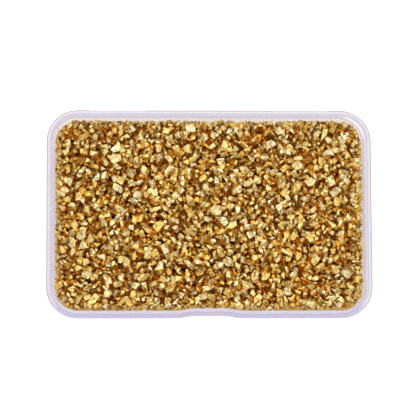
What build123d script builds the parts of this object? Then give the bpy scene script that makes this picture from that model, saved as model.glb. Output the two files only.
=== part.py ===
from build123d import *
import os
from math import cos, radians, sin, sqrt, tan
from random import Random

# A shallow plastic tray, filled nearly to its rim with gold-coloured chips. It stands in its
# own lift-off lid, which is turned over and parked under it.
#
# +X runs along the long side, +Y to the back and +Z up. The thumb scoop is in the front side.
# The origin lies under the middle of the tray, on the face that the lid rests on.
# Lengths are in millimetres and angles in degrees.

# --- The rim: the outline that the ledge, the lip, the walls and the lid all follow ---
rim_length = 95.0
rim_width = 61.1
rim_corner_radius = 9.0

# --- The thumb scoop, a shallow set-in of the front side over the tray's whole height ---
scoop_depth = 0.65
scoop_floor_length = 10.3
scoop_mouth_length = 17.6
scoop_round = 8.0

# --- The tray ---
tray_height = 20.0
tray_wall = 0.95
tray_floor = 1.2
tray_draft = 5.0
ledge_width = 1.1
ledge_thickness = 1.4
lip_height = 1.6
lip_round = 0.3
ledge_round = 0.3
foot_round = 1.2
inside_round = 0.8

# --- Two shallow catch reliefs in the back edge of the ledge ---
relief_length = 16.5
relief_spacing = 53.6
relief_depth = 0.12

# --- The lid ---
lid_plate = 1.0
lid_skirt = 3.2
lid_draft = 2.0
lid_reveal = 0.15
lid_edge_round = 0.8
skirt_end_round = 0.2

# --- Clearances ---
lid_fit = 0.1
park_gap = 0.3
bed_clearance = 0.1
chip_gap = 0.3
chip_play = 0.1

# --- The chips: how far below the lip they lie, and the grades of the top layer ---
fill_depth = 4.8
bed_round = 1.2
grades = {"coarse_chips": 3.4, "medium_chips": 2.8, "fine_chips": 2.2}
grade_weights = (3, 4, 3)
chip_flatness = 0.6
chip_seed = 7

# --- Heights and gaps that follow from the sizes above ---
foot_z = lid_plate
lip_z = foot_z + tray_height
ledge_z = lip_z - lip_height
floor_z = foot_z + tray_floor
lid_z = lid_plate + lid_skirt
largest_chip = max(grades.values())
layer_pitch = largest_chip + chip_gap + 2 * chip_play
bed_depth = fill_depth + chip_flatness * largest_chip
bed_z = lip_z - bed_depth
lid_wall = ledge_width - lid_reveal - lid_fit
lid_inside = lid_reveal + lid_wall


def drawn_in(drop, draft):
    """How far a wall with a draft draws in over a drop."""
    return drop * tan(radians(draft))


def tray_inset(z, inside=False):
    """How far the tray's outer face, or its inner face, lies inside the rim's outline at height z."""
    return ledge_width + drawn_in(lip_z - z, tray_draft) + (tray_wall if inside else 0)


# The tray's foot has play in the lid. It stands forward in it, a park gap from the skirt.
lid_setback = tray_inset(lid_z) - lid_inside - park_gap


def outline(inset, z):
    """The rim's outline drawn in by an inset, with the thumb scoop, as a face at height z."""
    x = rim_length / 2 - inset
    y = rim_width / 2 - inset
    scoop_y = scoop_depth - y
    corners = [
        (x, -y),
        (x, y),
        (-x, y),
        (-x, -y),
        (-scoop_mouth_length / 2, -y),
        (-scoop_floor_length / 2, scoop_y),
        (scoop_floor_length / 2, scoop_y),
        (scoop_mouth_length / 2, -y),
    ]
    radii = [rim_corner_radius - inset] * 4 + [scoop_round] * 4
    path = FilletPolyline(*corners, radius=radii, close=True)
    return Pos(0, 0, z) * make_face(path.edges())


def drafted_block(top_inset, top, bottom, draft):
    """A block under the outline at its top, whose sides draw in by the draft as they go down."""
    bottom_inset = top_inset + drawn_in(top - bottom, draft)
    return loft([outline(bottom_inset, bottom), outline(top_inset, top)], ruled=True)


def edges_at(part, z):
    """The edges of a part that lie wholly at height z."""
    return part.edges().filter_by_position(Axis.Z, z, z)


def make_tray():
    """One moulding: floor, drafted walls, a ledge round the outside and a lip above it."""
    tray = drafted_block(tray_inset(lip_z), lip_z, foot_z, tray_draft)
    tray = fillet(edges_at(tray, foot_z), foot_round)
    ledge_under_z = ledge_z - ledge_thickness
    ledge = extrude(outline(0, ledge_under_z), ledge_thickness)
    ledge = fillet(edges_at(ledge, ledge_z) + edges_at(ledge, ledge_under_z), ledge_round)
    for side in (-1, 1):
        relief = Box(relief_length, 2 * relief_depth, 2 * ledge_thickness)
        ledge -= Pos(side * relief_spacing / 2, rim_width / 2, ledge_under_z) * relief
    inside = drafted_block(tray_inset(lip_z, inside=True), lip_z, floor_z, tray_draft)
    inside = fillet(edges_at(inside, floor_z), inside_round)
    tray = tray + ledge - inside
    return fillet(edges_at(tray, lip_z), lip_round)


def make_lid():
    """One moulding: a flat plate with a skirt round it, lying on its outer face."""
    lid = drafted_block(lid_reveal, lid_z, 0, lid_draft)
    lid = fillet(edges_at(lid, 0), lid_edge_round)
    lid -= drafted_block(lid_inside, lid_z, lid_plate, lid_draft)
    lid = fillet(edges_at(lid, lid_z), skirt_end_round)
    return Pos(0, lid_setback, 0) * lid


def make_chip_bed():
    """The chips below the top layer, as one solid that stands on the tray's floor."""
    inset = tray_inset(bed_z, inside=True) + bed_clearance
    bed = drafted_block(inset, bed_z, floor_z, tray_draft)
    return fillet(edges_at(bed, floor_z), bed_round)


def uneven_ring(random, corners, nearest, furthest):
    """The corners of an uneven polygon, whose reach lies between two limits."""
    turn = random.uniform(0, 360)
    ring = []
    for corner in range(corners):
        angle = radians(turn + 360 * (corner + random.uniform(-0.3, 0.3)) / corners)
        reach = random.uniform(nearest, furthest)
        ring.append((reach * cos(angle), reach * sin(angle)))
    return ring


def make_chip(random, size):
    """A crushed chip: the convex hull of an uneven foot and a smaller, uneven crown above it."""
    reach = size / 2
    height = random.uniform(0.7, 1.0) * chip_flatness * size
    foot = uneven_ring(random, random.randint(5, 7), 0.75 * reach, reach)
    crown = uneven_ring(random, random.randint(3, 5), 0.35 * reach, 0.7 * reach)
    foot_points = [(x, y, 0) for x, y in foot]
    crown_points = [(x, y, height * random.uniform(0.7, 1.0)) for x, y in crown]
    return ConvexPolyhedron(foot_points + crown_points)


def layer_spots():
    """Spots of a staggered grid on the bed, each with room for a coarse chip inside the walls."""
    edge = tray_inset(bed_z, inside=True) + bed_clearance + largest_chip / 2
    half_x = rim_length / 2 - edge
    half_y = rim_width / 2 - edge - scoop_depth
    row_step = layer_pitch * sqrt(3) / 2
    rows = int(half_y // row_step)
    spots = []
    for row in range(-rows, rows + 1):
        stagger = layer_pitch / 2 * (row % 2)
        columns = int((half_x - stagger) // layer_pitch)
        for column in range(-columns - row % 2, columns + 1):
            spots.append((column * layer_pitch + stagger, row * row_step))
    return spots


def make_top_layer():
    """The chips of the top layer by grade, each a separate solid that lies on the bed."""
    random = Random(chip_seed)
    layer = {name: [] for name in grades}
    for x, y in layer_spots():
        name = random.choices(list(grades), grade_weights)[0]
        size = grades[name]
        play = (layer_pitch - size - chip_gap) / 2
        shift_x = random.uniform(-play, play)
        shift_y = random.uniform(-play, play)
        layer[name].append(Pos(x + shift_x, y + shift_y, bed_z) * make_chip(random, size))
    return {name: Compound(children=chips) for name, chips in layer.items()}


nodes = {"tray": make_tray(), "lid": make_lid(), "chip_bed": make_chip_bed()}
nodes.update(make_top_layer())

os.makedirs("parts", exist_ok=True)
for name, part in nodes.items():
    export_step(part, f"parts/{name}.step")
    print(f"{name}: {len(part.solids())} solids, {part.volume:.1f} mm3")
print(f"lid wall {lid_wall:.2f} mm, lid set back {lid_setback:.2f} mm, bed top at {bed_z:.2f} mm")
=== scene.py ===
# %% [markdown]
# # A tray of gold chips
#
# A shallow plastic tray, 95 mm long, is filled nearly to its rim with crushed, gold-coloured
# chips. It stands in its own lid, which lies upside down beneath it.
#
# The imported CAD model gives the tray, the lid and the room that the chips take up. This lesson
# adds what the eye looks for: thousands of separate chips that lie on each other as poured
# chips do, the clear and slightly milky plastic, and the light of a small studio.

# %% Load the frame
import math
import bmesh
import bpy
import numpy as np
from mathutils import Euler, Matrix, Vector
from mathutils.bvhtree import BVHTree


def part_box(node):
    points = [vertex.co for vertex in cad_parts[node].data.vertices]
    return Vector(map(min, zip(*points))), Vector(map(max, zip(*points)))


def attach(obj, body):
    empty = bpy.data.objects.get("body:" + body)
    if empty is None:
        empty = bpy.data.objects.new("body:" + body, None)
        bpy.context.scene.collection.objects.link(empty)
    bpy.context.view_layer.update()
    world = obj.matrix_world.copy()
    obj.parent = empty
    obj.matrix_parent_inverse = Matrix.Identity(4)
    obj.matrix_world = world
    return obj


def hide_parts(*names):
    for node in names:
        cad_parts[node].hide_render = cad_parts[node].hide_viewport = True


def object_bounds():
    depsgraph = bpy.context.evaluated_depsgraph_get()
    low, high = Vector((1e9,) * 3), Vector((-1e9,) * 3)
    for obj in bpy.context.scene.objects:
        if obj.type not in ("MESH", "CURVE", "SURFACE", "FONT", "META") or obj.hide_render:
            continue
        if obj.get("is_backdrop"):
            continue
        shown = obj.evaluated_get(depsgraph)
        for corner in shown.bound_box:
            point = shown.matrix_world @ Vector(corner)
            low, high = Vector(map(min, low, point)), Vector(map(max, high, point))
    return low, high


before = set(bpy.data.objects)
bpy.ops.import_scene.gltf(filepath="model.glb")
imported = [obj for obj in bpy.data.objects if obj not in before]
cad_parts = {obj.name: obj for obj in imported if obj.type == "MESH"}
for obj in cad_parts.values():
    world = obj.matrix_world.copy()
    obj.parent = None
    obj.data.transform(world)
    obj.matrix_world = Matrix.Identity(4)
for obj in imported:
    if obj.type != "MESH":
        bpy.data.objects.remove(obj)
cad_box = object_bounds()
scene = bpy.context.scene

# %% [markdown]
# ## Sizes that everything follows
#
# Blender works in metres here, and the chips are a few millimetres across, so a name for one
# millimetre keeps the numbers readable. The tray's own box says how high the lip is.

# %% Read the tray's size
MM = 0.001
tray_low, tray_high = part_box("tray")
lip_z = tray_high.z
rim_centre = Vector(((tray_low.x + tray_high.x) / 2, (tray_low.y + tray_high.y) / 2, lip_z))
print(f"the tray is {(tray_high.x - tray_low.x) / MM:.1f} mm long and its lip is at {lip_z / MM:.1f} mm")

# %% [markdown]
# ## The inside of the tray, as a height map
#
# The chips have to lie inside the tray and touch its walls. A height map says, for each spot
# seen from above, how high the surface is that a falling chip would meet. Typing in the tray's
# shape again would be one way to make it, but then the two could disagree. Dropping a ray on
# the tray at each spot reads the real shape, with its sloping walls and its thumb scoop.

# %% Drop rays on the tray
CELL = 0.2 * MM


def surface_of(node):
    """A node's surface, ready to be asked where it is hit or nearest."""
    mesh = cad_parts[node].data
    mesh.calc_loop_triangles()
    faces = [tuple(triangle.vertices) for triangle in mesh.loop_triangles]
    return BVHTree.FromPolygons([vertex.co for vertex in mesh.vertices], faces)


def height_map(surface, low, high):
    """Heights of a surface on a grid of cells, where a ray from above meets it first."""
    columns = math.ceil((high.x - low.x) / CELL)
    rows = math.ceil((high.y - low.y) / CELL)
    heights = np.full((rows, columns), high.z)
    for row in range(rows):
        for column in range(columns):
            start = Vector((low.x + (column + 0.5) * CELL, low.y + (row + 0.5) * CELL, high.z + MM))
            hit = surface.ray_cast(start, Vector((0, 0, -1)))[0]
            if hit is not None:
                heights[row, column] = hit.z
    return heights


def widen(heights, reach):
    """Spreads each height sideways over a reach."""
    wide = heights.copy()
    for step in range(round(reach / CELL)):
        padded = np.pad(wide, 1, mode="edge")
        for dy, dx in ((0, 1), (2, 1), (1, 0), (1, 2)):
            wide = np.maximum(wide, padded[dy:dy + wide.shape[0], dx:dx + wide.shape[1]])
    return wide


tray_surface = surface_of("tray")
tray_heights = height_map(tray_surface, tray_low, tray_high)
floor_z = float(tray_heights.min())
heap = tray_heights.copy()
print(f"{heap.size} spots, and the tray's floor is at {floor_z / MM:.2f} mm")

# %% [markdown]
# ## The shapes of the chips
#
# Crushed glass breaks into small blocks and flakes with flat faces, sharp edges and no two
# alike. Modelling thousands of them by hand is out of the question, but nobody notices when two
# dozen shapes come back in different sizes and turned every way. A hull round random points
# would do, but its faces are all small triangles. Real cracks run flat and far, so each shape
# is a block that is cut by planes from all sides, and its faces stay large.

# %% Break some chips
SHAPES = 24
BREADTHS = (0.4, 0.85)
THICKNESSES = (0.25, 0.5)
FEWEST_CRACKS, MOST_CRACKS = 7, 10
CRACK_REACHES = (0.6, 1.0)
CRACK_UNEVENNESS = 0.25
UNCUT_BLOCK = 1.2
SHORTEST_EDGE = 0.02
rng = np.random.default_rng(11)


def crack_directions(cracks):
    """Directions spread evenly over a ball in a spiral, then knocked out of line."""
    turn = math.pi * (3 - math.sqrt(5))
    ways = []
    for crack in range(cracks):
        height = 1 - 2 * (crack + 0.5) / cracks
        level = math.sqrt(1 - height * height)
        way = np.array((level * math.cos(crack * turn), level * math.sin(crack * turn), height))
        way += rng.normal(scale=CRACK_UNEVENNESS, size=3)
        ways.append(way / np.linalg.norm(way))
    return ways


def break_chip():
    """A mesh of one chip, 1 unit across at most, whose middle is at the origin."""
    half = np.array((1.0, rng.uniform(*BREADTHS), rng.uniform(*THICKNESSES))) / 2
    block = bmesh.new()
    bmesh.ops.create_cube(block, size=UNCUT_BLOCK)
    for way in crack_directions(int(rng.integers(FEWEST_CRACKS, MOST_CRACKS + 1))):
        reach = np.linalg.norm(half * way) * rng.uniform(*CRACK_REACHES)
        geometry = block.verts[:] + block.edges[:] + block.faces[:]
        cut = bmesh.ops.bisect_plane(
            block, geom=geometry, plane_co=way * reach, plane_no=way, clear_outer=True)
        rim = [part for part in cut["geom_cut"] if isinstance(part, bmesh.types.BMEdge)]
        bmesh.ops.contextual_create(block, geom=rim)
    bmesh.ops.remove_doubles(block, verts=block.verts, dist=SHORTEST_EDGE)
    bmesh.ops.recalc_face_normals(block, faces=block.faces)
    corners = np.array([vertex.co for vertex in block.verts])
    middle = (corners.min(0) + corners.max(0)) / 2
    across = 2 * np.linalg.norm(corners - middle, axis=1).max()
    for vertex in block.verts:
        vertex.co = (vertex.co - Vector(middle)) / across
    mesh = bpy.data.meshes.new("chip_shape")
    block.to_mesh(mesh)
    block.free()
    return mesh


def face_planes(mesh):
    """Each face's outward normal and its distance from the origin, one row a face."""
    return np.array([(*face.normal, face.normal.dot(face.center)) for face in mesh.polygons])


chip_meshes = [break_chip() for shape in range(SHAPES)]
chip_planes = [face_planes(mesh) for mesh in chip_meshes]
print("faces on each chip:", [len(mesh.polygons) for mesh in chip_meshes])

# %% [markdown]
# ## How a chip lands
#
# A physics engine could drop thousands of chips, but that takes minutes. A poured heap has a
# simpler rule that gives nearly the same picture: each chip rolls until it lies low. So each
# chip tries a few places and turns, takes the lowest, and then creeps downhill a little. The
# height map then rises by the chip's own upper surface, and the next chip lands on that.

# %% Let one chip find its place
TRIES, TURNS = 8, 3
STRIDES = (3, 1)
LEAST_DROP = 0.02 * MM
NEARLY_UPRIGHT = 1e-4


def chip_surfaces(planes, turn, size):
    """A turned chip's lower and upper surface over a small square of cells around its middle."""
    normals = planes[:, :3] @ np.array(turn.to_matrix()).T
    offsets = planes[:, 3] * size
    reach = math.ceil(size / 2 / CELL)
    across = np.arange(-reach, reach + 1) * CELL
    x, y = across[None, :, None], across[:, None, None]
    rise = np.where(np.abs(normals[:, 2]) < NEARLY_UPRIGHT, NEARLY_UPRIGHT, normals[:, 2])
    z = (offsets - normals[:, 0] * x - normals[:, 1] * y) / rise
    upper = np.where(rise > 0, z, np.inf).min(2)
    lower = np.where(rise < 0, z, -np.inf).max(2)
    lower[upper <= lower] = np.inf
    return reach, lower, upper


def rest_height(lower, reach, row, column):
    """The height of a chip's middle when it comes down on the heap at a cell."""
    under = heap[row - reach:row + reach + 1, column - reach:column + reach + 1]
    if under.shape != lower.shape:
        return np.inf
    return float((under - lower).max())


def creep(lower, reach, row, column, z):
    """Moves a chip to the lowest spot beside it, until no spot beside it is lower."""
    for stride in STRIDES:
        moved = True
        while moved:
            moved = False
            for down, right in ((0, stride), (0, -stride), (stride, 0), (-stride, 0)):
                there = rest_height(lower, reach, row + down, column + right)
                if there < z - LEAST_DROP:
                    row, column, z, moved = row + down, column + right, there, True
    return row, column, z


def land(shape, size, rows, columns):
    """Lets a chip fall on some of the given cells, and returns how and where it lies lowest."""
    lowest = None
    for turn_number in range(TURNS):
        turn = Euler(rng.uniform(-math.pi, math.pi, 3))
        reach, lower, upper = chip_surfaces(chip_planes[shape], turn, size)
        for spot in rng.integers(len(rows), size=TRIES):
            row, column = int(rows[spot]), int(columns[spot])
            z = rest_height(lower, reach, row, column)
            if lowest is None or z < lowest[0]:
                lowest = (z, row, column, turn, reach, lower, upper)
    z, row, column, turn, reach, lower, upper = lowest
    row, column, z = creep(lower, reach, row, column, z)
    return z, row, column, turn, reach, lower, upper


# %% [markdown]
# ## Pouring the grades
#
# The chips come in grades. The heap's core is never seen, so it gets the largest and the fewest.
# Fines trickle down between coarse chips, as they do in any shaken box, so a bed of fines comes
# before the top. Last, small chips settle in the groove between the top and the wall.

# %% Pour until the tray is full
FILL_DEPTH = 4.3 * MM
SHELL = 3.2 * MM
FLOOR_LAYER = 0.4 * SHELL
TOP_LAYER = 2.2 * MM
SMALLEST_CHIP, LARGEST_CHIP = 1.3 * MM, 4.8 * MM
CORE_GRADE = {"typical": 4.3 * MM, "spread": 0.1}
COARSE_GRADE = {"typical": 2.9 * MM, "spread": 0.3}
FINE_GRADE = {"typical": 2.3 * MM, "spread": 0.2}
WALL_GRADE = {"typical": 2.0 * MM, "spread": 0.25}
WALL_BAND = 1.6 * MM
GROOVE_RISE = 0.3 * MM
REFUSED_CHIPS = 60
fill_z = lip_z - FILL_DEPTH


def pour(level, typical, spread, where=True):
    """Pours chips until the heap is level with a height, and returns one row of facts a chip."""
    rows, columns = np.nonzero((heap < level) & where)
    poured = []
    refused = 0
    while refused < REFUSED_CHIPS:
        size = typical * math.exp(spread * rng.normal())
        size = min(max(size, SMALLEST_CHIP), LARGEST_CHIP)
        shape = int(rng.integers(SHAPES))
        z, row, column, turn, reach, lower, upper = land(shape, size, rows, columns)
        if z > level:
            refused += 1
            continue
        window = heap[row - reach:row + reach + 1, column - reach:column + reach + 1]
        covered = np.isfinite(lower)
        window[covered] = np.maximum(window[covered], z + upper[covered])
        x = tray_low.x + (column + 0.5) * CELL
        y = tray_low.y + (row + 0.5) * CELL
        poured.append((x, y, z, *turn, size, shape, rng.uniform()))
    return np.array(poured)


def near_wall(level, reach):
    """True for the cells that lie within a reach of the tray's wall at a height."""
    return widen(np.where(tray_heights > level, 1.0, 0.0), reach) > 0


floor_layer = pour(floor_z + FLOOR_LAYER, **COARSE_GRADE)
core = pour(fill_z - SHELL, **CORE_GRADE, where=~near_wall(fill_z - SHELL, SHELL))
wall_layer = pour(fill_z - SHELL, **COARSE_GRADE)
fines = pour(fill_z - TOP_LAYER, **FINE_GRADE)
top_layer = pour(fill_z, **COARSE_GRADE)
groove = pour(fill_z + GROOVE_RISE, **WALL_GRADE, where=near_wall(fill_z, WALL_BAND))
chip_rows = {
    "base_chips": np.concatenate((floor_layer, core)),
    "wall_chips": wall_layer,
    "top_chips": np.concatenate((fines, top_layer, groove)),
}
print("chips:", {name: len(rows) for name, rows in chip_rows.items()})
print("of the top chips,", len(fines), "are fines and", len(groove), "lie in the groove")

# %% [markdown]
# ## A tree that makes chips out of points
#
# Each chip is now one row: a place, a turn, a size, the number of its shape and a number for its
# tone. Copying meshes in a loop would work, but Geometry Nodes are made for it. A cloud of
# points carries the rows as attributes, the tree puts a shape on each point, and Realize
# Instances makes it one mesh. The helper that adds a node here serves the materials below too.

# %% Build the chip tree


def add_node(tree, kind, settings=None, inputs=None):
    """Adds a node, sets its settings, and sets or links its inputs by name or by number."""
    node = tree.nodes.new(kind)
    for name, value in (settings or {}).items():
        setattr(node, name, value)
    for key, value in (inputs or {}).items():
        if isinstance(value, bpy.types.NodeSocket):
            tree.links.new(value, node.inputs[key])
        else:
            node.inputs[key].default_value = value
    return node


def chip_tree():
    """A tree that puts a chip on each point, as the point's own attributes say."""
    tree = bpy.data.node_groups.new("poured_chips", "GeometryNodeTree")
    inputs = {
        "Points": "Geometry", "Chip shapes": "Collection", "Size factor": "Float", "Finish": "Material"}
    for name, kind in inputs.items():
        tree.interface.new_socket(name, in_out="INPUT", socket_type="NodeSocket" + kind)
    tree.interface.new_socket("Chips", in_out="OUTPUT", socket_type="NodeSocketGeometry")
    given = add_node(tree, "NodeGroupInput").outputs
    point = {}
    for name, kind in {"turn": "FLOAT_VECTOR", "size": "FLOAT", "shape": "INT"}.items():
        attribute = add_node(tree, "GeometryNodeInputNamedAttribute", {"data_type": kind}, {"Name": name})
        point[name] = attribute.outputs["Attribute"]
    shapes = add_node(tree, "GeometryNodeCollectionInfo", inputs={
        "Collection": given["Chip shapes"], "Separate Children": True, "Reset Children": True})
    scale = add_node(tree, "ShaderNodeMath", {"operation": "MULTIPLY"}, {
        0: point["size"], 1: given["Size factor"]})
    placed = add_node(tree, "GeometryNodeInstanceOnPoints", inputs={
        "Points": given["Points"], "Instance": shapes.outputs[0], "Pick Instance": True,
        "Instance Index": point["shape"], "Rotation": point["turn"], "Scale": scale.outputs[0]})
    real = add_node(tree, "GeometryNodeRealizeInstances", inputs={"Geometry": placed.outputs[0]})
    painted = add_node(tree, "GeometryNodeSetMaterial", inputs={
        "Geometry": real.outputs[0], "Material": given["Finish"]})
    add_node(tree, "NodeGroupOutput", inputs={"Chips": painted.outputs[0]})
    return tree


tree = chip_tree()
tree_inputs = {item.name: item.identifier for item in tree.interface.items_tree}
print("tree inputs:", ", ".join(tree_inputs))

# %% [markdown]
# ## The colour of the chips
#
# Colours are written as sRGB hex, as on a paint chart. Blender's shaders want linear light, so
# one function turns one into the other.
#
# The chips are crushed glass in a thin coat of brass-coloured metal. A metal has no colour of
# its own but tints what it mirrors, and light that falls between the chips is tinted again at
# each bounce, so the crevices turn to a deep amber brown. Four things make it look real. Each
# chip has its own tone, from full gold to pale champagne. The broken faces aren't quite flat,
# and small dents and a fine grain catch the light each in their own way. Chips deeper in the
# heap are painted a fuller gold, painted bounce light that helps the few bounces of a render
# along. And chips at the wall are painted a darker gold, painted shade, because without it
# they come out too bright there.

# %% Gold-coated crushed glass
DENT_SIZE = 0.9 * MM
DENT_SLOPE = 0.9
GRAIN_SIZE = 0.35 * MM
GRAIN_HEIGHT = 0.12 * MM
COAT_UNEVENNESS = 0.5
DEEP_FROM, DEEP_FULLY = 0.5, 2.4
SMOOTHEST_COAT, ROUGHEST_COAT = 0.2, 0.42
GOLD_TONES = {0.0: "#E2B450", 0.35: "#E8CA76", 0.7: "#ECDCA6", 1.0: "#EFE8D0"}
# The deep gold is painted bounce light, and the shaded gold is painted shade at the wall.
PAINTED_BOUNCE_GOLD, PAINTED_SHADE_GOLD = "#EEB03C", "#BC903A"


def linear(hex_colour):
    """A linear colour with full alpha from an sRGB hex string such as #FFCC66."""
    parts = [int(hex_colour[start:start + 2], 16) / 255 for start in (1, 3, 5)]
    return (*[part / 12.92 if part <= 0.04045 else ((part + 0.055) / 1.055) ** 2.4 for part in parts], 1.0)


def new_material(name):
    """A node material with nothing but a Principled shader, with its tree and that shader."""
    material = bpy.data.materials.new(name)
    material.use_nodes = True
    tree = material.node_tree
    tree.nodes.clear()
    shader = add_node(tree, "ShaderNodeBsdfPrincipled")
    add_node(tree, "ShaderNodeOutputMaterial", inputs={"Surface": shader.outputs[0]})
    return material, tree, shader


def gold_coated_glass():
    """Brass-coloured metal, satin, dented and finely grained, with painted bounce light deep down and
    painted shade at the wall.
    """
    material, tree, shader = new_material("gold_coated_glass")
    tone = add_node(tree, "ShaderNodeAttribute", {"attribute_name": "tone"}).outputs["Fac"]
    depth = add_node(tree, "ShaderNodeAttribute", {"attribute_name": "depth"}).outputs["Fac"]
    shade = add_node(tree, "ShaderNodeAttribute", {"attribute_name": "shade"}).outputs["Fac"]
    place = add_node(tree, "ShaderNodeTexCoord").outputs["Object"]
    dents = add_node(tree, "ShaderNodeTexVoronoi", inputs={"Vector": place, "Scale": 1 / DENT_SIZE})
    coat = add_node(tree, "ShaderNodeMix", inputs={
        0: COAT_UNEVENNESS, 2: tone, 3: dents.outputs["Color"]}).outputs[0]
    tones = add_node(tree, "ShaderNodeValToRGB", inputs={"Fac": coat})
    while len(tones.color_ramp.elements) < len(GOLD_TONES):
        tones.color_ramp.elements.new(0.5)
    for stop, (position, colour) in zip(tones.color_ramp.elements, GOLD_TONES.items()):
        stop.position = position
        stop.color = linear(colour)
    # Painted bounce light: corners deep in the heap get a fuller gold.
    deep = add_node(tree, "ShaderNodeMapRange", {"interpolation_type": "SMOOTHSTEP"}, {
        "Value": depth, "From Min": DEEP_FROM, "From Max": DEEP_FULLY})
    fuller = add_node(tree, "ShaderNodeMixRGB", inputs={
        "Fac": deep.outputs[0], "Color1": tones.outputs[0], "Color2": linear(PAINTED_BOUNCE_GOLD)})
    # Painted shade: corners near the wall get a darker gold.
    colour = add_node(tree, "ShaderNodeMixRGB", inputs={
        "Fac": shade, "Color1": fuller.outputs[0], "Color2": linear(PAINTED_SHADE_GOLD)})
    along = add_node(tree, "ShaderNodeVectorMath", {"operation": "SUBTRACT"}, {
        0: place, 1: dents.outputs["Position"]})
    tilt = add_node(tree, "ShaderNodeVectorMath", {"operation": "SUBTRACT"}, {
        0: dents.outputs["Color"], 1: (0.5, 0.5, 0.5)})
    height = add_node(tree, "ShaderNodeVectorMath", {"operation": "DOT_PRODUCT"}, {
        0: along.outputs[0], 1: tilt.outputs[0]})
    grain = add_node(tree, "ShaderNodeTexNoise", inputs={
        "Vector": place, "Scale": 1 / GRAIN_SIZE, "Detail": 0.0})
    grainy = add_node(tree, "ShaderNodeMath", {"operation": "MULTIPLY_ADD"}, {
        0: grain.outputs["Fac"], 1: GRAIN_HEIGHT, 2: height.outputs["Value"]})
    bump = add_node(tree, "ShaderNodeBump", inputs={
        "Strength": 1.0, "Distance": DENT_SLOPE, "Height": grainy.outputs[0]})
    chance = add_node(tree, "ShaderNodeTexWhiteNoise", {"noise_dimensions": "1D"}, {"W": tone})
    roughness = add_node(tree, "ShaderNodeMapRange", inputs={
        "Value": chance.outputs["Value"], "To Min": SMOOTHEST_COAT, "To Max": ROUGHEST_COAT})
    tree.links.new(colour.outputs[0], shader.inputs["Base Color"])
    tree.links.new(roughness.outputs[0], shader.inputs["Roughness"])
    tree.links.new(bump.outputs[0], shader.inputs["Normal"])
    shader.inputs["Metallic"].default_value = 1.0
    return material


gold = gold_coated_glass()
print("made", gold.name)

# %% [markdown]
# ## One mesh for each part of the heap
#
# The modifier is read once and its result kept as a plain mesh, so the tree is no longer needed
# afterwards. Each corner also learns how deep it lies and how near the wall is, which the
# material above asks for.

# %% Make the heap
SURFACE_REACH = 1.0 * MM
WALL_DEPTH = 0.9 * MM
SHADE_REACH = 1.8 * MM
HIGHEST_TOP = fill_z + 1.0 * MM
heap_top = np.minimum(widen(heap, SURFACE_REACH), HIGHEST_TOP)
shape_collection = bpy.data.collections.new("chip_shapes")
for number, mesh in enumerate(chip_meshes):
    shape_collection.objects.link(bpy.data.objects.new(f"chip_shape_{number:02d}", mesh))


def point_cloud(name, rows):
    """A mesh of loose points, one for each chip, that carries the chips' facts."""
    cloud = bpy.data.meshes.new(name + "_points")
    cloud.from_pydata(rows[:, :3].tolist(), [], [])
    cloud.attributes.new("turn", "FLOAT_VECTOR", "POINT").data.foreach_set("vector", rows[:, 3:6].ravel())
    cloud.attributes.new("size", "FLOAT", "POINT").data.foreach_set("value", rows[:, 6])
    cloud.attributes.new("shape", "INT", "POINT").data.foreach_set("value", rows[:, 7].astype(int))
    cloud.attributes.new("tone", "FLOAT", "POINT").data.foreach_set("value", rows[:, 8])
    return cloud


def depth_and_shade(corner):
    """How many millimetres deep a corner lies, and how much painted shade from the wall it gets."""
    column = int((corner.x - tray_low.x) / CELL)
    row = int((corner.y - tray_low.y) / CELL)
    below = heap_top[row, column] - corner.z
    behind = tray_surface.find_nearest(corner)[3]
    # The second number is painted shade, full at the wall and gone a shade reach away from it.
    return max(min(below, behind + WALL_DEPTH), 0) / MM, max(1 - behind / SHADE_REACH, 0)


def heap_piece(name, rows):
    """A mesh piece with one chip for each row."""
    piece = bpy.data.objects.new(name, point_cloud(name, rows))
    scene.collection.objects.link(piece)
    modifier = piece.modifiers.new("poured chips", "NODES")
    modifier.node_group = tree
    modifier[tree_inputs["Chip shapes"]] = shape_collection
    modifier[tree_inputs["Size factor"]] = 1.0
    modifier[tree_inputs["Finish"]] = gold
    view = bpy.context.evaluated_depsgraph_get()
    mesh = bpy.data.meshes.new_from_object(
        piece.evaluated_get(view), preserve_all_data_layers=True, depsgraph=view)
    piece.modifiers.clear()
    piece.data = mesh
    mesh.name = name
    depths, shades = zip(*[depth_and_shade(vertex.co) for vertex in mesh.vertices])
    mesh.attributes.new("depth", "FLOAT", "POINT").data.foreach_set("value", depths)
    mesh.attributes.new("shade", "FLOAT", "POINT").data.foreach_set("value", shades)
    print(f"{name}: {len(rows)} chips, {len(mesh.polygons)} faces")
    return piece


heap_pieces = {name: heap_piece(name, rows) for name, rows in chip_rows.items()}

# %% [markdown]
# ## The plastic
#
# The tray and the lid are injection-moulded polypropylene: clear, but slightly milky, with a
# cool violet cast where it is thick. Real refraction would need many light bounces, and it
# hides the chips behind grey streaks. The eye mostly sees how much milk there is, so alpha
# stands for it. Light goes straight through a wall but has to travel along it behind the lip
# and the ledge, so faces near the rim that look up are milkier, and the lip, with the whole
# wall under it, is the most violet. The walls' warm beige is partly the plastic's own milk and
# partly a painted reflection of the gold chips. The ledge's rounded outer edge bends light away
# from the eye and reads as a thin grey line, which is painted grey as painted shade. The rim's
# front is painted a darker violet, painted shade.

# %% Milky polypropylene
WALL_MILK, RIM_MILK, GRAZING_MILK, EDGE_MILK = 0.1, 0.65, 0.6, 0.95
# The wall colour is partly the plastic's milk and partly a painted reflection of the gold.
WALL_MILK_AND_GOLD_REFLECTION, LEDGE_COLOUR, LIP_COLOUR = "#E2CCC2", "#D2C9CF", "#B1ABC9"
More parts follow.
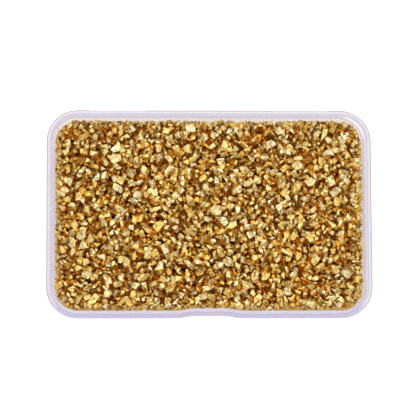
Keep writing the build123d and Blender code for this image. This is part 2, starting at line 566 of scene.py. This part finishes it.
# The front colour and the edge colour are painted shade.
PAINTED_FRONT_SHADE, PAINTED_EDGE_SHADE = "#B6AFCA", "#8E7F87"
FRONT_START, FRONT_END = tray_low.y + 5 * MM, tray_low.y + 2 * MM
LIP_START, LIP_END = lip_z - 1.4 * MM, lip_z - 0.9 * MM
RIM_START, RIM_END = lip_z - 3.3 * MM, lip_z - 3.0 * MM
SKIRT_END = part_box("lid")[1].z
SKIRT_RIM_START, SKIRT_RIM_END = SKIRT_END - 0.4 * MM, SKIRT_END - 0.2 * MM
LOOKS_UP_FROM, LOOKS_UP_FULLY = 0.3, 0.9
SIDEWAYS_FROM, SIDEWAYS_FULLY = 0.9998, 0.97
ROUNDED_FROM, ROUNDED_FULLY = 0.05, 0.3
GRAZING_SHARPNESS = 8.0
GLOSSIEST, DULLEST = 0.15, 0.3
FLOW_MARKS = 9 * MM
ORANGE_PEEL, PEEL_HEIGHT = 2.5 * MM, 0.02 * MM
POLYPROPYLENE_IOR = 1.49


def milky_polypropylene():
    """Clear plastic with a little milk in it, glossy as it came from a polished mould."""
    material, tree, shader = new_material("milky_polypropylene")
    smooth = {"interpolation_type": "SMOOTHSTEP"}
    place = add_node(tree, "ShaderNodeTexCoord").outputs["Object"]
    normal = add_node(tree, "ShaderNodeNewGeometry").outputs["Normal"]
    level = add_node(tree, "ShaderNodeSeparateXYZ", inputs={"Vector": place}).outputs["Z"]
    upward = add_node(tree, "ShaderNodeSeparateXYZ", inputs={"Vector": normal}).outputs["Z"]
    near_rim = add_node(tree, "ShaderNodeMapRange", smooth, {
        "Value": level, "From Min": RIM_START, "From Max": RIM_END})
    on_lip = add_node(tree, "ShaderNodeMapRange", smooth, {
        "Value": level, "From Min": LIP_START, "From Max": LIP_END})

    # How far a face looks up, and whether it looks away from the tray's middle.
    looks_up = add_node(tree, "ShaderNodeMapRange", smooth, {
        "Value": upward, "From Min": LOOKS_UP_FROM, "From Max": LOOKS_UP_FULLY})
    sideways = add_node(tree, "ShaderNodeMapRange", smooth, {
        "Value": upward, "From Min": SIDEWAYS_FROM, "From Max": SIDEWAYS_FULLY})
    level_place = add_node(tree, "ShaderNodeVectorMath", {"operation": "MULTIPLY"}, {
        0: place, 1: (1, 1, 0)})
    outward = add_node(tree, "ShaderNodeVectorMath", {"operation": "DOT_PRODUCT"}, {
        0: level_place.outputs[0], 1: normal})
    looks_out = add_node(tree, "ShaderNodeMath", {"operation": "GREATER_THAN"}, {
        0: outward.outputs["Value"], 1: 0.0})
    on_ledge = add_node(tree, "ShaderNodeMath", {"operation": "SUBTRACT"}, {
        0: near_rim.outputs[0], 1: on_lip.outputs[0]})
    out_and_sideways = add_node(tree, "ShaderNodeMath", {"operation": "MULTIPLY"}, {
        0: looks_out.outputs[0], 1: sideways.outputs[0]})
    rounded = add_node(tree, "ShaderNodeMapRange", smooth, {
        "Value": upward, "From Min": ROUNDED_FROM, "From Max": ROUNDED_FULLY,
        "To Max": on_ledge.outputs[0]})
    # Painted shade: the rounded outer edge of the ledge gets a grey line.
    edge = add_node(tree, "ShaderNodeMath", {"operation": "MULTIPLY"}, {
        0: out_and_sideways.outputs[0], 1: rounded.outputs[0]})

    # How far to the front a spot of the rim lies, where painted shade darkens it.
    depth_in = add_node(tree, "ShaderNodeSeparateXYZ", inputs={"Vector": place}).outputs["Y"]
    at_front = add_node(tree, "ShaderNodeMapRange", smooth, {
        "Value": depth_in, "From Min": FRONT_START, "From Max": FRONT_END})
    front = add_node(tree, "ShaderNodeMath", {"operation": "MULTIPLY"}, {
        0: at_front.outputs[0], 1: near_rim.outputs[0]})

    # Milkiness: thin on the walls, thick on the rim, thicker at a glancing look.
    above_skirt = add_node(tree, "ShaderNodeMapRange", smooth, {
        "Value": level, "From Min": SKIRT_RIM_START, "From Max": SKIRT_RIM_END})
    ledge_side = add_node(tree, "ShaderNodeMath", {"operation": "MULTIPLY"}, {
        0: looks_out.outputs[0], 1: on_ledge.outputs[0]})
    thick_way = add_node(tree, "ShaderNodeMath", {"operation": "MAXIMUM"}, {
        0: looks_up.outputs[0], 1: ledge_side.outputs[0]})
    rim = add_node(tree, "ShaderNodeMath", {"operation": "MULTIPLY"}, {
        0: above_skirt.outputs[0], 1: thick_way.outputs[0]})
    thickness = add_node(tree, "ShaderNodeMapRange", inputs={
        "Value": rim.outputs[0], "To Min": WALL_MILK, "To Max": RIM_MILK})
    facing = add_node(tree, "ShaderNodeLayerWeight", inputs={"Blend": 0.5}).outputs["Facing"]
    grazing = add_node(tree, "ShaderNodeMath", {"operation": "POWER"}, {
        0: facing, 1: GRAZING_SHARPNESS})
    milk = add_node(tree, "ShaderNodeMath", {"operation": "MULTIPLY_ADD", "use_clamp": True}, {
        0: grazing.outputs[0], 1: GRAZING_MILK, 2: thickness.outputs[0]})
    alpha = add_node(tree, "ShaderNodeMapRange", inputs={
        "Value": edge.outputs[0], "To Min": milk.outputs[0], "To Max": EDGE_MILK})

    # Colour, roughness and the surface of the mould.
    colour = add_node(tree, "ShaderNodeMixRGB", inputs={
        "Fac": rim.outputs[0], "Color1": linear(WALL_MILK_AND_GOLD_REFLECTION), "Color2": linear(LEDGE_COLOUR)})
    # The edge's grey and the front's violet are painted shade.
    for where, tint in ((on_lip, LIP_COLOUR), (edge, PAINTED_EDGE_SHADE), (front, PAINTED_FRONT_SHADE)):
        colour = add_node(tree, "ShaderNodeMixRGB", inputs={
            "Fac": where.outputs[0], "Color1": colour.outputs[0], "Color2": linear(tint)})
    flow = add_node(tree, "ShaderNodeTexNoise", inputs={"Vector": place, "Scale": 1 / FLOW_MARKS})
    roughness = add_node(tree, "ShaderNodeMapRange", inputs={
        "Value": flow.outputs["Fac"], "To Min": GLOSSIEST, "To Max": DULLEST})
    peel = add_node(tree, "ShaderNodeTexNoise", inputs={"Vector": place, "Scale": 1 / ORANGE_PEEL})
    bump = add_node(tree, "ShaderNodeBump", inputs={
        "Strength": 0.3, "Distance": PEEL_HEIGHT, "Height": peel.outputs["Fac"]})
    tree.links.new(colour.outputs[0], shader.inputs["Base Color"])
    tree.links.new(alpha.outputs[0], shader.inputs["Alpha"])
    tree.links.new(roughness.outputs[0], shader.inputs["Roughness"])
    tree.links.new(bump.outputs[0], shader.inputs["Normal"])
    shader.inputs["IOR"].default_value = POLYPROPYLENE_IOR
    return material


plastic = milky_polypropylene()
for node in ("tray", "lid"):
    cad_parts[node].material_slots[0].material = plastic
    print(f"the {node} is of {plastic.name}")

# %% [markdown]
# ## What moves with what
#
# The chips ride with the tray when it is lifted out of the lid. They stand in for the plain
# solids of the CAD model, which are hidden.

# %% Tie the pieces to the frame
for piece in heap_pieces.values():
    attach(piece, "tray")
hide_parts("chip_bed", "coarse_chips", "medium_chips", "fine_chips")
print("pieces:", ", ".join(heap_pieces))

# %% [markdown]
# ## The studio
#
# Small goods are often shown on a light table, an opal sheet lit from below, because it stays
# an even white without a hard shadow. It lies a hair below the lid, so that two faces
# never share one plane.
#
# A large softbox overhead and a bright room give chips their pale faces. The two small boxes at
# the sides are there for a few brighter glints.

# %% Light table, softboxes and room
TABLE_GAP = 0.05 * MM
TABLE_HALF = 3.0
HAZE_SIZE = 40 * MM
OPAL_COLOUR, OPAL_GLOW = "#8C8C8C", 0.88
ROOM_BRIGHTNESS = 0.86
table_mesh = bpy.data.meshes.new("light_table")
square = ((-1, -1), (1, -1), (1, 1), (-1, 1))
table_corners = [(x * TABLE_HALF, y * TABLE_HALF, -TABLE_GAP) for x, y in square]
table_mesh.from_pydata(table_corners, [], [(0, 1, 2, 3)])
table = bpy.data.objects.new("light_table", table_mesh)
scene.collection.objects.link(table)
opal, opal_tree, opal_shader = new_material("opal_acrylic")
opal_place = add_node(opal_tree, "ShaderNodeTexCoord").outputs["Object"]
haze = add_node(opal_tree, "ShaderNodeTexNoise", inputs={"Vector": opal_place, "Scale": 1 / HAZE_SIZE})
haze_roughness = add_node(opal_tree, "ShaderNodeMapRange", inputs={
    "Value": haze.outputs["Fac"], "To Min": 0.8, "To Max": 1.0})
opal_tree.links.new(haze_roughness.outputs[0], opal_shader.inputs["Roughness"])
opal_shader.inputs["Base Color"].default_value = linear(OPAL_COLOUR)
opal_shader.inputs["Emission Color"].default_value = linear("#FFFFFF")
opal_shader.inputs["Emission Strength"].default_value = OPAL_GLOW
table_mesh.materials.append(opal)
table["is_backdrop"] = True


def softbox(name, place, size, watts):
    """A square area light at a place seen from the rim's middle, which it faces."""
    light = bpy.data.lights.new(name, "AREA")
    light.size = size
    light.energy = watts
    holder = bpy.data.objects.new(name, light)
    holder.location = rim_centre + Vector(place)
    holder.rotation_euler = (-Vector(place)).to_track_quat("-Z", "Y").to_euler()
    scene.collection.objects.link(holder)


softbox("overhead_softbox", (0.0, 0.1, 0.95), size=1.1, watts=4.15)
softbox("left_softbox", (-0.7, 0.3, 0.35), size=0.5, watts=1.25)
softbox("right_softbox", (0.75, -0.1, 0.4), size=0.5, watts=0.9)
room = bpy.data.worlds.new("white_room")
room.use_nodes = True
room.node_tree.nodes["Background"].inputs["Color"].default_value = (1, 1, 1, 1)
room.node_tree.nodes["Background"].inputs["Strength"].default_value = ROOM_BRIGHTNESS
scene.world = room

# %% [markdown]
# ## The camera
#
# It looks down on the tray from 0.7 m, a little from the front and from the left of the middle,
# so that the back and right walls show their inner faces. Its aim, its roll and the width that
# it frames at the rim are chosen, and the lens follows from them. The plain view transform
# keeps white white.

# %% Place the camera
CAMERA_PLACE = Vector((-31, -92, 700)) * MM
CAMERA_AIM = Vector((-0.51, 1.46, 0)) * MM
CAMERA_ROLL = math.radians(-0.278)
FRAMED_WIDTH = 121.2 * MM

line_of_sight = CAMERA_AIM - CAMERA_PLACE
rightward = line_of_sight.cross(Vector((0, 1, 0))).normalized()
upward = rightward.cross(line_of_sight).normalized()
turn = Matrix((rightward, upward, -line_of_sight.normalized())).transposed()
turn = turn @ Matrix.Rotation(CAMERA_ROLL, 3, "Z")
camera = bpy.data.objects.new("camera", bpy.data.cameras.new("camera"))
camera.matrix_world = Matrix.Translation(rim_centre + CAMERA_PLACE) @ turn.to_4x4()
camera.data.lens = camera.data.sensor_width * line_of_sight.length / FRAMED_WIDTH
scene.collection.objects.link(camera)
scene.camera = camera
scene.view_settings.view_transform = "Standard"
print(f"the lens is {camera.data.lens:.0f} mm")

# %% [markdown]
# ## Finish
#
# The size of the dressed model is written beside the CAD model's, because Blender must not
# make the object larger than it is.

# %% Write the sizes and finish
boxes = {"cad": cad_box, "visual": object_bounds()}
for name, (low, high) in boxes.items():
    print(name, "box in mm:", [round((high[axis] - low[axis]) / MM, 2) for axis in range(3)])
